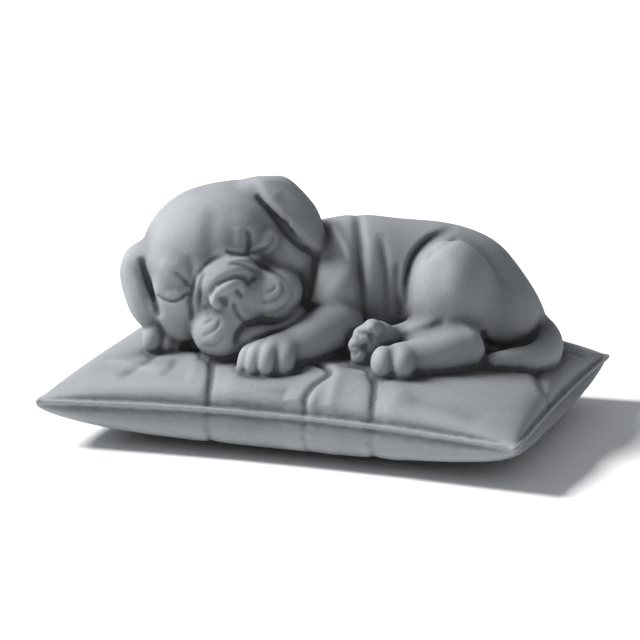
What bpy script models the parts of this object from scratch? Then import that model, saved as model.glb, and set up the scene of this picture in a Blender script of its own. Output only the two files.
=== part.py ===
"""A puppy asleep on a pillow, cast in one piece.

Run it with blender --background --python part.py, or from the text editor. Lengths are in metres, +Z is up.
The front, with the puppy's face and paws, looks along -Y. The pillow's long side runs along X.

The casting is described by one field: a function that is negative inside the figure, zero on its skin and
positive outside. Each mass of the puppy is a small class that knows its own distance and can put a rough
copy of itself into a mesh. The rough copies are remeshed into one skin, which is then drawn onto the field.
"""

import math

import bmesh
import bpy
import numpy as np
from mathutils import Euler, Matrix, Vector

# Driving sizes, in metres, with the turn in degrees. The bulge, creases, fullness and pinch are shares
PILLOW_LENGTH = 0.240
PILLOW_WIDTH = 0.169
SEAM_HEIGHT = 0.022
SEAM_ARCH = 0.0025
PILLOW_RISE = 0.0215
PILLOW_SAG = 0.026
LOWER_BULGE = 0.032
SIDE_PULL = 0.008
HEAD_END_PULL = 0.010
LOWER_CREASES = 0.4
FULLNESS_ABOVE = 0.29
FULLNESS_BELOW = 0.22
CORNER_PINCH = 0.5
SEAM_LIP = 0.002
SEAM_THICKNESS = 0.0036
CREASE_WIDTH = 0.0024
CREASE_DEPTH = 0.0016
PUPPY_LENGTH = 0.222
LIE_DEPTH = 0.008
PUPPY_TURN = 19
CONTACT_BLEND = 0.005

# The puppy's places, radii, widths and depths are in grains, of which there are 222 in its length. At this
# size they are millimetres
GRAIN = PUPPY_LENGTH / 222
EAR_THICKNESS = 4.6
ROUGH_PADDING = 1.2
LIMB_BLEND = 4.5

# Where the head lies and which way it faces, in the puppy's frame
HEAD_PLACE = Vector((-52.8, -25, 46.9))
HEAD_LEFT = Vector((0.874, 0.125, 0.469))
HEAD_BACK = Vector((-0.126, 0.991, -0.031))

# The puppy's folds are traced on a squared sheet that stands in front of it. Square (320, 320) lies on the
# line from TRACE_AIM, in grains, towards an eye that looks down by TRACE_TILT from TRACE_DISTANCE away
TRACE_AIM = np.array((-3.7, 1.3, 13.2))
TRACE_TILT = 14.95
TRACE_DISTANCE = 1728
TRACE_SQUARE = 0.486
TRACE_MIDDLE = np.array((320, 320))

# Mesh sizes, in metres, and the share of a voxel that a point may stand proud before it is combed
ROUGH_VOXEL = 0.0021
COMB_SHARE = 0.25
SKIN_TRIANGLES = 9600
LONGEST_STEP = 0.0025

STONE_COLOUR = (0.31, 0.325, 0.345, 1)
STONE_ROUGHNESS = 0.85


def melt(a, b, k):
    """The union of two distances, with a fillet that is k wide."""
    h = np.clip(1 - np.abs(a - b) / k, 0, 1)
    return np.minimum(a, b) - h * h * k / 4


def curve_through(points, per_span=5):
    """Points along a smooth curve through the given rows, whose columns may hold radii too."""
    rows = np.asarray(points, float)
    if len(rows) < 3:
        return rows
    padded = np.vstack([2 * rows[0] - rows[1], rows, 2 * rows[-1] - rows[-2]])
    out = []
    for a, b, c, d in zip(padded, padded[1:], padded[2:], padded[3:]):
        for t in np.arange(per_span) / per_span:
            out.append(
                b
                + 0.5 * t * (c - a)
                + t * t * (a - 2.5 * b + 2 * c - 0.5 * d)
                + t * t * t * (1.5 * (b - c) + 0.5 * (d - a))
            )
    return np.vstack([out, rows[-1]])


def chain_distance(p, line, radii):
    """Distance from points to a chain of round cones."""
    best = np.full(len(p), 1e3)
    for a, b, ra, rb in zip(line, line[1:], radii, radii[1:]):
        along = b - a
        t = np.clip((p - a) @ along / max(along @ along, 1e-12), 0, 1)
        d = np.linalg.norm(p - a - t[:, None] * along, axis=1) - (ra + t * (rb - ra))
        best = np.minimum(best, d)
    return best


class Ball:
    """An egg-shaped mass: centre, three radii and a turn in degrees."""

    def __init__(self, centre, radii, turn=(0, 0, 0), blend=8):
        self.centre = np.array(centre, float) * GRAIN
        self.radii = np.array(radii, float) * GRAIN
        self.turn = np.array(Euler(map(math.radians, turn)).to_matrix())
        self.blend = blend * GRAIN
        self.span = self.radii.max()

    def distance(self, p):
        q = (p - self.centre) @ self.turn
        near = np.linalg.norm(q / self.radii, axis=1)
        slope = np.linalg.norm(q / self.radii**2, axis=1)
        return near * (near - 1) / np.maximum(slope, 1e-9)

    def rough(self, bm, place):
        turn = Matrix(self.turn.tolist()).to_4x4()
        size = Matrix.Diagonal((*(self.radii + ROUGH_PADDING * GRAIN), 1))
        at = place @ Matrix.Translation(self.centre) @ turn @ size
        bmesh.ops.create_icosphere(bm, subdivisions=3, radius=1, matrix=at)


class Limb:
    """A tapering round mass along a smooth curve. Each row is x, y, z, radius."""

    def __init__(self, rows, blend=6):
        rows = curve_through(rows, 10) * GRAIN
        self.line, self.radii = rows[:, :3], rows[:, 3]
        self.blend = blend * GRAIN
        self.centre = self.line.mean(axis=0)
        self.span = (np.linalg.norm(self.line - self.centre, axis=1) + self.radii).max()

    def distance(self, p):
        return chain_distance(p, self.line, self.radii)

    def rough(self, bm, place):
        for centre, radius in zip(self.line, self.radii + ROUGH_PADDING * GRAIN):
            at = place @ Matrix.Translation(centre)
            bmesh.ops.create_icosphere(bm, subdivisions=2, radius=radius, matrix=at)


class Flap:
    """A soft sheet with a round edge, such as an ear: a smooth surface that fits the points of its rim."""

    def __init__(self, rim, thickness, bulge, blend):
        rim = curve_through([*rim, rim[0]], 3) * GRAIN
        self.half, self.bulge, self.blend = thickness / 2 * GRAIN, bulge * GRAIN, blend * GRAIN
        self.centre = rim[1:].mean(axis=0)
        self.frame = np.linalg.svd(rim - self.centre)[2]
        # The sheet bulges to the front, so its third axis has to point there
        if self.frame[2, 1] > 0:
            self.frame[2] *= -1
        flat = (rim - self.centre) @ self.frame.T
        self.rim = flat[:, :2]
        self.low, self.high = self.rim.min(axis=0), self.rim.max(axis=0)
        self.bend = np.linalg.lstsq(self.shapes(self.rim), flat[:, 2], rcond=None)[0]
        self.span = np.linalg.norm(flat, axis=1).max() + self.half + self.bulge

    def shapes(self, st):
        s, t = np.clip(st, self.low, self.high).T
        return np.stack([np.ones(len(s)), s, t, s * s, s * t, t * t], axis=1)

    def inwards(self, st):
        """Distance inwards from the rim in the sheet's own plane, negative outside it."""
        away = chain_distance(st, self.rim, np.zeros(len(self.rim)))
        inside = np.zeros(len(st), bool)
        for (s0, t0), (s1, t1) in zip(self.rim, self.rim[1:]):
            if t0 != t1:
                crosses = (t0 > st[:, 1]) != (t1 > st[:, 1])
                inside ^= crosses & (st[:, 0] < s0 + (s1 - s0) * (st[:, 1] - t0) / (t1 - t0))
        return np.where(inside, away, -away)

    def height(self, st, inwards):
        swell = 1 - np.exp(-np.maximum(inwards, 0) / (6 * GRAIN))
        return self.shapes(st) @ self.bend + self.bulge * swell

    def distance(self, p):
        q = (p - self.centre) @ self.frame.T
        inwards = self.inwards(q[:, :2])
        beyond = np.maximum(self.half - inwards, 0)
        return np.hypot(beyond, q[:, 2] - self.height(q[:, :2], inwards)) - self.half

    def rough(self, bm, place):
        steps = [np.arange(low, high, self.half) for low, high in zip(self.low, self.high)]
        st = np.array([(s, t) for s in steps[0] for t in steps[1]])
        inwards = self.inwards(st)
        flat = np.column_stack([st, self.height(st, inwards)])[inwards > self.half]
        radius = self.half + ROUGH_PADDING * GRAIN
        for point in flat @ self.frame + self.centre:
            at = place @ Matrix.Translation(point)
            bmesh.ops.create_icosphere(bm, subdivisions=1, radius=radius, matrix=at)


class Fold:
    """A valley, or with a negative depth a ridge, pressed into the skin along a line on a flat sheet.

    The line's points times their unit are metres on the sheet. The fold fades in and out at its ends.
    """

    def __init__(self, points, unit, width, depth, fade=0.25):
        self.line = curve_through(points) * unit
        self.width, self.depth = width, depth
        self.fade = fade * (len(self.line) - 1)
        self.low, self.high = self.line.min(axis=0) - 2.6 * width, self.line.max(axis=0) + 2.6 * width

    def push(self, sheet):
        """How far the skin sinks at places on the sheet."""
        out = np.zeros(len(sheet))
        near = np.all((sheet > self.low) & (sheet < self.high), axis=1)
        p = sheet[near]
        away, along = np.full(len(p), 1e3), np.zeros(len(p))
        for i, (a, b) in enumerate(zip(self.line, self.line[1:])):
            t = np.clip((p - a) @ (b - a) / ((b - a) @ (b - a)), 0, 1)
            d = np.linalg.norm(p - a - t[:, None] * (b - a), axis=1)
            along = np.where(d < away, i + t, along)
            away = np.minimum(away, d)
        ends = np.minimum(along, len(self.line) - 1 - along) / max(self.fade, 1e-9)
        strength = np.sin(np.clip(ends, 0, 1) * math.pi / 2)
        out[near] = self.depth * strength * np.exp(-((away / self.width) ** 2))
        return out


def traced(squares, width, depth, fade=0.25):
    """A fold along a line through the given squares of the tracing sheet."""
    return Fold(squares, TRACE_SQUARE * GRAIN, width * GRAIN, depth * GRAIN, fade)


def on_tracing_sheet(q):
    """Where points of the puppy's frame fall on the tracing sheet, and how far in front of its aim."""
    tilt = math.radians(TRACE_TILT)
    q = q - TRACE_AIM * GRAIN
    front = q @ np.array((0, -math.cos(tilt), math.sin(tilt)))
    up = q @ np.array((0, math.sin(tilt), math.cos(tilt)))
    grow = TRACE_DISTANCE * GRAIN / (TRACE_DISTANCE * GRAIN - front)
    middle = TRACE_MIDDLE * TRACE_SQUARE * GRAIN
    return np.stack([q[:, 0] * grow, -up * grow], axis=1) + middle, front


class Group:
    """Masses that share a place, such as a head, and the folds that are pressed into their front half.

    Points far outside its reach are not worked out.
    """

    def __init__(self, lie, place, centre, reach, masses, folds):
        self.place = lie @ place
        self.back = np.array(self.place.inverted())
        self.to_puppy = np.array(lie.inverted())
        self.centre = np.array(self.place @ (Vector(centre) * GRAIN))
        self.reach = reach * GRAIN
        self.masses, self.folds = masses, folds
        self.halfway = self.sheet(self.centre[None])[1]

    def sheet(self, p):
        return on_tracing_sheet(p @ self.to_puppy[:3, :3].T + self.to_puppy[:3, 3])

    def distance(self, p):
        far = np.linalg.norm(p - self.centre, axis=1)
        out = far - 0.8 * self.reach
        near = far < self.reach
        if near.any():
            q = p[near] @ self.back[:3, :3].T + self.back[:3, 3]
            d = self.masses[0].distance(q)
            for mass in self.masses[1:]:
                close = np.linalg.norm(q - mass.centre, axis=1) - mass.span < d + mass.blend
                if close.any():
                    d[close] = melt(d[close], mass.distance(q[close]), mass.blend)
            skin = d < 4 * LONGEST_STEP
            sheet, front = self.sheet(p[near][skin])
            facing = np.clip((front - self.halfway) / (6 * GRAIN) + 0.5, 0, 1)
            d[skin] += facing * sum((fold.push(sheet) for fold in self.folds), np.zeros(len(sheet)))
            out[near] = d
        return out

    def rough(self, bm):
        for mass in self.masses:
            mass.rough(bm, self.place)


# The pillow

def pillow_plan(x, y, inset=0):
    """Shares of the half length and half width, 1 at the rim.

    The long sides and the head's end pull in between the corners, and the tail's end is straight.
    """
    half_x, half_y = PILLOW_LENGTH / 2, PILLOW_WIDTH / 2
    end_pull = np.where(x < 0, HEAD_END_PULL, 0)
    u = x / (half_x - inset - end_pull * np.clip(1 - (y / half_y) ** 2, 0, 1))
    v = y / (half_y - inset - SIDE_PULL * np.clip(1 - (x / half_x) ** 2, 0, 1))
    return u, v


def pillow_loft(x, y, fullness):
    """How full the pillow is at a place, 0 at the seam and 1 in the middle, thinner towards the corners."""
    u, v = pillow_plan(x, y, SEAM_LIP)
    pinch = 1 - CORNER_PINCH * np.clip(u * v, -1, 1) ** 4
    return pinch * (np.clip(1 - u**2, 0, 1) * np.clip(1 - v**2, 0, 1)) ** fullness


def seam_level(u, v):
    """The seam's height, which rises between the corners."""
    return SEAM_HEIGHT + SEAM_ARCH * (1 - np.clip(u * v, -1, 1) ** 2)


def pillow_creases():
    """Creases that the puppy's weight pulls from under it to the seam, in shares of the half sides."""
    half_sides = np.array((PILLOW_LENGTH, PILLOW_WIDTH)) / 2
    lines = [
        ([(-0.37, -0.45), (-0.33, -0.65), (-0.29, -0.82), (-0.27, -1.02)], 1, 1.2),
        ([(-0.04, -0.5), (0.1, -0.57), (0.165, -0.66), (0.13, -0.8), (0.15, -1)], 1, 1),
        ([(0.18, -0.55), (0.3, -0.56), (0.36, -0.7), (0.39, -0.85), (0.41, -1)], 1, 1),
        ([(-0.6, -0.52), (-0.61, -0.68), (-0.68, -0.84)], 1.4, 0.6),
        ([(0.8, 0.14), (0.85, 0.03), (0.93, -0.2), (1, -0.36)], 1.4, 0.9),
        ([(0.86, 0.24), (0.9, 0.45), (0.98, 0.6)], 1.2, 0.6),
    ]
    return [Fold(line, half_sides, CREASE_WIDTH * w, CREASE_DEPTH * d) for line, w, d in lines]


def pillow_distance(p, creases):
    u, v = pillow_plan(p[:, 0], p[:, 1])
    z = p[:, 2] - seam_level(u, v)
    down = np.clip(-z / PILLOW_SAG, 0, 1)
    # The underside swells out beyond the seam, except at the tail's end
    swell = 1 + 4 * LOWER_BULGE * down * (1 - down)
    x, y = p[:, 0] / np.where(p[:, 0] < 0, swell, 1), p[:, 1] / swell
    step = 0.0005
    above = z > 0
    lift = np.where(above, PILLOW_RISE, PILLOW_SAG)
    fullness = np.where(above, FULLNESS_ABOVE, FULLNESS_BELOW)
    loft = pillow_loft(x, y, fullness)
    dx = (pillow_loft(x + step, y, fullness) - pillow_loft(x - step, y, fullness)) / (2 * step) * lift
    dy = (pillow_loft(x, y + step, fullness) - pillow_loft(x, y - step, fullness)) / (2 * step) * lift
    body = (np.abs(z) - loft * lift) / np.sqrt(1 + dx * dx + dy * dy)
    skin = np.abs(body) < 4 * LONGEST_STEP
    share = np.where(above[skin], 1, LOWER_CREASES)
    body[skin] += share * sum(crease.push(p[skin, :2]) for crease in creases)
    rim = (np.maximum(np.abs(u), np.abs(v)) - 1) * PILLOW_WIDTH / 2
    lip = np.maximum(rim, np.abs(z) - SEAM_THICKNESS / 2)
    return melt(body, lip, SEAM_LIP)


def pillow_rough(bm):
    """Two puffed sheets that meet at the seam, with the corners left square."""
    for lift, fullness in ((PILLOW_RISE, FULLNESS_ABOVE), (-PILLOW_SAG, FULLNESS_BELOW)):
        made = bmesh.ops.create_grid(bm, x_segments=60, y_segments=50, size=1)["verts"]
        for vert in made:
            seam = seam_level(vert.co.x, vert.co.y)
            x, y = vert.co.x * PILLOW_LENGTH / 2, vert.co.y * PILLOW_WIDTH / 2
            u, v = pillow_plan(x, y)
            x, y = x * abs(vert.co.x / u) if u else 0, y * abs(vert.co.y / v) if v else 0
            loft = float(pillow_loft(np.array(x), np.array(y), fullness))
            vert.co = Vector((x, y, seam + lift * loft + math.copysign(SEAM_THICKNESS / 2, lift)))
        if lift < 0:
            faces = {face for vert in made for face in vert.link_faces}
            bmesh.ops.reverse_faces(bm, faces=list(faces))
    rims = [edge for edge in bm.edges if edge.is_boundary]
    bmesh.ops.bridge_loops(bm, edges=rims)


# The head, in its own frame: X to the puppy's left, -Y out of the face, Z to the crown, zero at the brow

def pair(x, y, z, radii, roll, blend):
    """The same mass on the puppy's left and right side."""
    return [Ball((x * side, y, z), radii, (0, roll * side, 0), blend) for side in (-1, 1)]


def ears():
    left_rim = [
        (34, 21, 21.5), (41, 23, 19), (47, 25, 14), (51.5, 25, 7), (53.5, 23, -3),
        (53, 18, -12), (50.5, 13, -18.5), (46.5, 8, -21), (42, 5, -13), (38.5, 5.5, 4), (35.5, 11, 17),
    ]
    right_rim = [
        (-30, 22, 20), (-35, 25, 18.5), (-41, 27, 11), (-45.5, 25, 1),
        (-46.5, 19, -7), (-44.5, 14, -13), (-38.5, 12, -11), (-35.5, 14, 3), (-32, 20, 17),
    ]
    return [Flap(left_rim, EAR_THICKNESS, 1.5, 3), Flap(right_rim, EAR_THICKNESS, 1.5, 3)]


def ear_folds():
    """The dip behind the front edge of the left ear."""
    return [traced([(276, 194), (290, 211), (303, 228)], 3.2, 0.6)]


def ear_roots():
    """The solid under the ears, so that no gap stays behind them."""
    return [
        Ball((44, 25, 3), (9, 8, 16), blend=6),
        Ball((33, 24, 16.5), (9, 9, 7), blend=6),
        Ball((-39, 25, 3), (7, 8, 13), blend=6),
        Ball((-31, 25, 15), (9, 9, 8), blend=6),
        Ball((-37, 18, -9), (7, 8, 9), blend=4),
    ]


def nose():
    return [
        Ball((-0.9, -12.4, -8.3), (8.2, 4.8, 3.8), blend=1.5),
        Ball((0.6, -12, -13), (6.5, 4.3, 5.5), blend=2),
        Ball((-8.5, -12.2, -11.5), (3, 3.8, 4.2), blend=1.5),
        Ball((5.2, -12.2, -11.2), (2.8, 3.8, 3.8), blend=1.5),
    ]


def head_masses():
    skull = [
        Ball((1, 31, 0), (35.5, 36, 31.8)),
        Ball((24, 30, -1), (24, 24, 23), blend=12),
        Ball((0, 13, 8), (26, 14, 15), blend=14),
        Ball((-22, 19, -15), (15.5, 18, 16), blend=10),
        Ball((29, 18, -19), (16, 18, 19), blend=10),
        Ball((29, 9, -15), (10, 11, 9), blend=7),
        Ball((-28, 12, -19), (9, 10, 8.5), blend=5),
        Ball((-26, 9.5, -9), (9, 8, 9)),
    ]
    brows_and_lids = pair(17, 5, 6, (8, 7, 9), 10, 5) + [
        Ball((24.5, 4.5, -1.8), (8, 6.5, 6), blend=2.5),
        Ball((-24, 7.5, 0.5), (8, 6, 7), blend=6),
    ]
    muzzle = [
        Ball((2, -3, -4), (16, 11, 8.5), blend=6),
        Ball((-19, 5, -14), (9, 9, 12), blend=7),
        Ball((1, 4, -17), (20, 20, 16.5), blend=5),
        Ball((16, -2, -24), (15.5, 15, 13.5), (0, 18, 0), 3.5),
        Ball((-13.5, -2.5, -28), (13.5, 15, 14.5), (0, -18, 0), 3.5),
        Ball((-4, -5, -25), (10, 10.5, 10), blend=5),
        Ball((7, -6, -20), (7, 9, 8), blend=4),
        Ball((-1, -5.5, -36.5), (14, 12.5, 9), blend=2),
        Ball((14, -7, -38.5), (13, 9.5, 7), blend=3),
    ]
    return skull + ear_roots() + brows_and_lids + muzzle + nose()


def face_folds():
    """The puppy's face. Its left side is on the right of the tracing sheet."""
    ears_and_neck = [
        traced([(254, 187), (264, 195), (277, 213), (290, 233), (302, 245), (316, 249)], 1.8, 1.2, 0.15),
        traced([(138, 254), (141, 266), (148, 283), (156, 299), (160, 318)], 1.8, 1.4, 0.15),
        traced([(318, 248), (315, 268), (311, 287), (305, 304)], 2.4, 1.2),
    ]
    closed_lids = [
        traced([(245, 254), (254, 251), (264, 247), (272, 241), (275, 234)], 1.1, 1.3),
        traced([(157, 296), (163, 300), (173, 300), (182, 295), (189, 290)], 1.1, 1.3),
        traced([(172, 270), (178, 275), (184, 280), (189, 287)], 1.4, 1.5),
        traced([(246, 228), (249, 238), (248, 248), (244, 256)], 1.7, 1.6),
    ]
    forehead = [
        traced([(212, 206), (211, 228), (209, 250), (207, 268)], 4.5, 1),
        traced([(237, 226), (238, 236), (237, 247)], 2, -0.6),
        traced([(224, 250), (234, 253), (246, 254)], 1.2, 1.3),
    ]
    muzzle = [
        traced([(194, 326), (190, 300), (195, 280), (203, 268), (214, 258), (228, 254)], 1.4, 1),
        traced([(228, 254), (246, 255), (262, 265), (280, 275), (292, 285)], 1.4, 1.1),
        traced([(211, 306), (211, 295), (217, 286), (227, 280), (237, 277), (246, 279), (249, 288)],
               1.2, 1.4),
        traced([(234, 302), (236, 311), (241, 318), (247, 322)], 1.2, 1.2),
        traced([(234, 346), (237, 335), (246, 324), (260, 323), (282, 320), (300, 311)], 1.9, 1.7),
    ]
    nostrils = [
        traced([(223, 298), (226, 302), (223, 306)], 1.2, 1.5, 0.1),
        traced([(237, 289), (239, 294), (243, 296)], 1.2, 1.5, 0.1),
    ]
    return ears_and_neck + closed_lids + forehead + muzzle + nostrils


# The body, legs and tail, in the puppy's frame: X to its rump, -Y out of its belly, Z up from the pillow

def toe(x, y, z, radius, back):
    """A toe that comes down from its knuckle, which lies back from its tip, to the pillow."""
    rows = [
        (x + back[0], y + back[1], z + 5, radius * 0.8),
        (x + back[0] * 0.3, y + 1, z + 2.5, radius),
        (x, y - 1, z - 2.5, radius),
        (x, y + 1, z - 6, radius * 0.8),
    ]
    return Limb(rows, blend=1.6)


def forelegs():
    near = [
        Limb([(4, -26, 18, 13), (-9, -37, 13, 11), (-20, -43, 9.5, 9)]),
        Ball((-28, -47, 8), (10.5, 8, 8)),
        toe(-39.5, -47.5, 7, 3.6, (5, 3)),
        toe(-35.3, -51, 8, 4, (4, 5)),
        toe(-29, -53, 8.5, 4.6, (3, 7)),
        toe(-20.7, -51.5, 8, 5.2, (2, 8)),
    ]
    far = [
        Limb([(-50, -2, 12, 12), (-74, -9, 8.5, 9)]),
        toe(-84, -16, 10.5, 5.2, (3, 5)),
        toe(-77, -18, 8.5, 3.2, (2, 6)),
        toe(-73, -18, 7, 2.8, (1, 6)),
    ]
    return near + far


def far_hind_paw():
    """It lies on its side, so the pads show."""
    paw = [
        Limb([(52, -23, 12, 11), (38, -34, 12, 9), (26, -42, 13, 8)]),
        Ball((22.5, -44, 13.5), (11, 8, 11.5), blend=3),
    ]
    pads = [(21, 22, 4.8), (16, 19, 4.2), (13.6, 14, 4), (15, 8.6, 4.2), (19.5, 5, 4.2), (23, 13.5, 5.4)]
    return paw + [Ball((x, -48, z), (radius, 4.6, radius), blend=2) for x, z, radius in pads]


def tail_masses():
    rows = [
        (93, 26, 5, 10),
        (103, 13, 3.5, 9),
        (106, -5, 3, 8.2),
        (104, -22, 3, 7.6),
        (97, -36, 4, 6.8),
        (87.5, -43, 5.5, 5.4),
        (79, -47, 6.5, 3.6),
    ]
    return [Limb(rows)]


def body_masses():
    torso = [
        Ball((6, 10, 28), (32, 30, 33)),
        Ball((34, 13, 25), (38, 31, 34), blend=20),
        Ball((59, 13, 20), (38, 31, 36.5), blend=14),
        Ball((80.5, 10, 4), (27.5, 27, 28), blend=12),
        Ball((-20, 8, 24), (30, 28, 30), blend=16),
        Ball((4, -19, 28), (13, 12, 17), blend=7),
    ]
    near_hind_leg = [
        Ball((59.5, -18.5, 28), (21.5, 25, 29.5), blend=9),
        Ball((77, -7, 14), (21.5, 20, 23), blend=14),
        Ball((47, -37, 15), (15, 12, 9), blend=6),
        Limb([(64, -45, 11.5, 10.5), (52, -52.5, 10.5, 9.5), (34, -57, 9.5, 8)], blend=7),
        Ball((26, -60, 8.5), (6, 8, 8.2), blend=2.5),
        Ball((35, -61.5, 8), (6.4, 8, 8.4), blend=2.5),
    ]
    return torso + near_hind_leg


def body_folds():
    """Loose skin between neck and haunch, and the creases where the legs and the tail leave the body."""
    return [
        traced([(330, 222), (337, 232), (345, 245), (352, 262)], 2.2, -1),
        traced([(356, 210), (358, 230), (360, 250), (362, 280), (366, 322)], 2.6, 1.7),
        traced([(370, 224), (370, 240), (369, 262), (369, 320)], 2, -0.8),
        traced([(383, 242), (385, 262), (386, 290), (385, 320)], 2.4, 1),
        traced([(398, 262), (397, 288), (399, 318)], 2.2, 0.6),
        traced([(405, 318), (406, 295), (408, 275), (414, 257), (426, 243), (441, 234), (456, 229)],
               2.6, 2, 0.4),
        traced([(424, 262), (432, 252), (444, 245), (460, 238)], 1.8, 0.8),
        traced([(446, 256), (437, 275), (440, 298), (452, 316)], 6, 1),
        traced([(318, 248), (315, 268), (311, 287), (305, 304)], 2.4, 1.2),
        traced([(400, 337), (414, 332), (430, 327), (446, 321)], 2.2, 0.9),
        traced([(484, 340), (503, 346), (520, 342), (534, 332), (542, 312)], 2.2, 1.4),
    ]


def build_groups():
    lie = Matrix.Translation((0, 0, SEAM_HEIGHT + SEAM_ARCH + PILLOW_RISE - LIE_DEPTH))
    lie = lie @ Matrix.Rotation(math.radians(PUPPY_TURN), 4, "Z")
    here = Matrix.Identity(4)
    up = HEAD_LEFT.cross(HEAD_BACK).normalized()
    tilt = Matrix((HEAD_LEFT.normalized(), up.cross(HEAD_LEFT).normalized(), up)).transposed().to_4x4()
    head_at = Matrix.Translation(HEAD_PLACE * GRAIN) @ tilt
    return [
        Group(lie, here, (40, 10, 20), 130, body_masses(), body_folds()),
        Group(lie, here, (-20, -35, 10), 120, forelegs() + far_hind_paw(), []),
        Group(lie, head_at, (0, 22, 0), 90, head_masses(), face_folds()),
        Group(lie, head_at, (4, 34, 0), 90, ears(), ear_folds()),
        Group(lie, here, (100, -10, 5), 75, tail_masses(), body_folds()[-1:]),
    ]


def figure_distance(figure, p):
    groups, creases = figure
    d = groups[0].distance(p)
    for group in groups[1:]:
        d = melt(d, group.distance(p), LIMB_BLEND * GRAIN)
    return melt(d, pillow_distance(p, creases), CONTACT_BLEND)


def points_of(mesh):
    points = np.empty(len(mesh.vertices) * 3, np.float32)
    mesh.vertices.foreach_get("co", points)
    return points.reshape(-1, 3).astype(float)


def edges_of(mesh):
    edges = np.empty(len(mesh.edges) * 2, np.int32)
    mesh.edges.foreach_get("vertices", edges)
    return edges.reshape(-1, 2)


def drawn_onto(figure, mesh, rounds):
    """Moves the mesh's points along the field's slope until they lie on the skin."""
    step = 0.0002
    corners = np.array([(1, 1, 1), (1, -1, -1), (-1, 1, -1), (-1, -1, 1)], float)
    points = points_of(mesh)
    for _ in range(rounds):
        values = [figure_distance(figure, points + step * corner) for corner in corners]
        slope = sum(value[:, None] * corner for value, corner in zip(values, corners)) / (4 * step)
        steep = np.maximum(np.linalg.norm(slope, axis=1), 0.3)
        away = np.clip(sum(values) / 4 / steep, -LONGEST_STEP, LONGEST_STEP)
        points = points - (away / steep)[:, None] * slope
    mesh.vertices.foreach_set("co", points.astype(np.float32).ravel())
    mesh.update()


def eased(points, edges):
    """The points, each moved halfway to the mean of its neighbours."""
    ends, others = np.concatenate([edges, edges[:, ::-1]]).T
    count = np.maximum(np.bincount(ends, minlength=len(points)), 1)
    mean = [np.bincount(ends, column[others], len(points)) / count for column in points.T]
    return (points + np.stack(mean, axis=1)) / 2


def combed(mesh, rounds, proud):
    """Eases the points that stand further than proud from their neighbours, such as in a narrow gap."""
    points, edges = points_of(mesh), edges_of(mesh)
    for _ in range(rounds):
        target = eased(points, edges)
        loose = np.linalg.norm(target - points, axis=1) > proud / 2
        points[loose] = target[loose]
    mesh.vertices.foreach_set("co", points.astype(np.float32).ravel())
    mesh.update()


def after_modifier(obj, kind, settings):
    """The object's mesh as one modifier leaves it."""
    modifier = obj.modifiers.new(kind.lower(), kind)
    for name, value in settings.items():
        setattr(modifier, name, value)
    graph = bpy.context.evaluated_depsgraph_get()
    mesh = bpy.data.meshes.new_from_object(obj.evaluated_get(graph))
    obj.modifiers.clear()
    return mesh


def flat_base(mesh):
    """Cuts the underside off level, so that the casting stands on a true flat."""
    bm = bmesh.new()
    bm.from_mesh(mesh)
    whole = bm.verts[:] + bm.edges[:] + bm.faces[:]
    cut = bmesh.ops.bisect_plane(
        bm, geom=whole, dist=1e-6, plane_co=(0, 0, 0), plane_no=(0, 0, 1), clear_inner=True
    )
    rim = [edge for edge in cut["geom_cut"] if isinstance(edge, bmesh.types.BMEdge)]
    bmesh.ops.contextual_create(bm, geom=rim)
    bmesh.ops.triangulate(bm, faces=bm.faces)
    bmesh.ops.recalc_face_normals(bm, faces=bm.faces)
    bm.to_mesh(mesh)
    bm.free()


def stone():
    material = bpy.data.materials.new("cast_stone")
    material.use_nodes = True
    shader = material.node_tree.nodes["Principled BSDF"]
    shader.inputs["Base Color"].default_value = STONE_COLOUR
    shader.inputs["Roughness"].default_value = STONE_ROUGHNESS
    return material


def main():
    for obj in list(bpy.data.objects):
        bpy.data.objects.remove(obj)
    figure = build_groups(), pillow_creases()
    bm = bmesh.new()
    pillow_rough(bm)
    for group in figure[0]:
        group.rough(bm)
    mesh = bpy.data.meshes.new("rough")
    bm.to_mesh(mesh)
    bm.free()
    casting = bpy.data.objects.new("puppy_on_pillow", mesh)
    bpy.context.scene.collection.objects.link(casting)

    for rounds in (2, 2):
        casting.data = after_modifier(casting, "REMESH", {"mode": "VOXEL", "voxel_size": ROUGH_VOXEL})
        drawn_onto(figure, casting.data, rounds)
    combed(casting.data, 4, COMB_SHARE * ROUGH_VOXEL)
    drawn_onto(figure, casting.data, 1)
    combed(casting.data, 4, COMB_SHARE * ROUGH_VOXEL)
    casting.data.calc_loop_triangles()
    share = SKIN_TRIANGLES / len(casting.data.loop_triangles)
    casting.data = after_modifier(casting, "DECIMATE", {"ratio": share})
    flat_base(casting.data)
    casting.data.shade_smooth()
    casting.data.materials.append(stone())


main()
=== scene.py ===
# %% [markdown]
# A puppy asleep on a pillow, cast in stone
#
# The real object is one piece: grey stone, poured into a mould, with no paint on it. What makes it live
# is the carving, so nearly all of this lesson is sculpting. Everything is in metres, with +Z up, and the
# puppy's face and paws look along -Y. We begin with the packed solid, which fixes where the casting lies
# and how big it is.

# %% Load the solid
import math

import bmesh
import bpy
import numpy as np
from mathutils import Euler, Matrix, Vector


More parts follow.
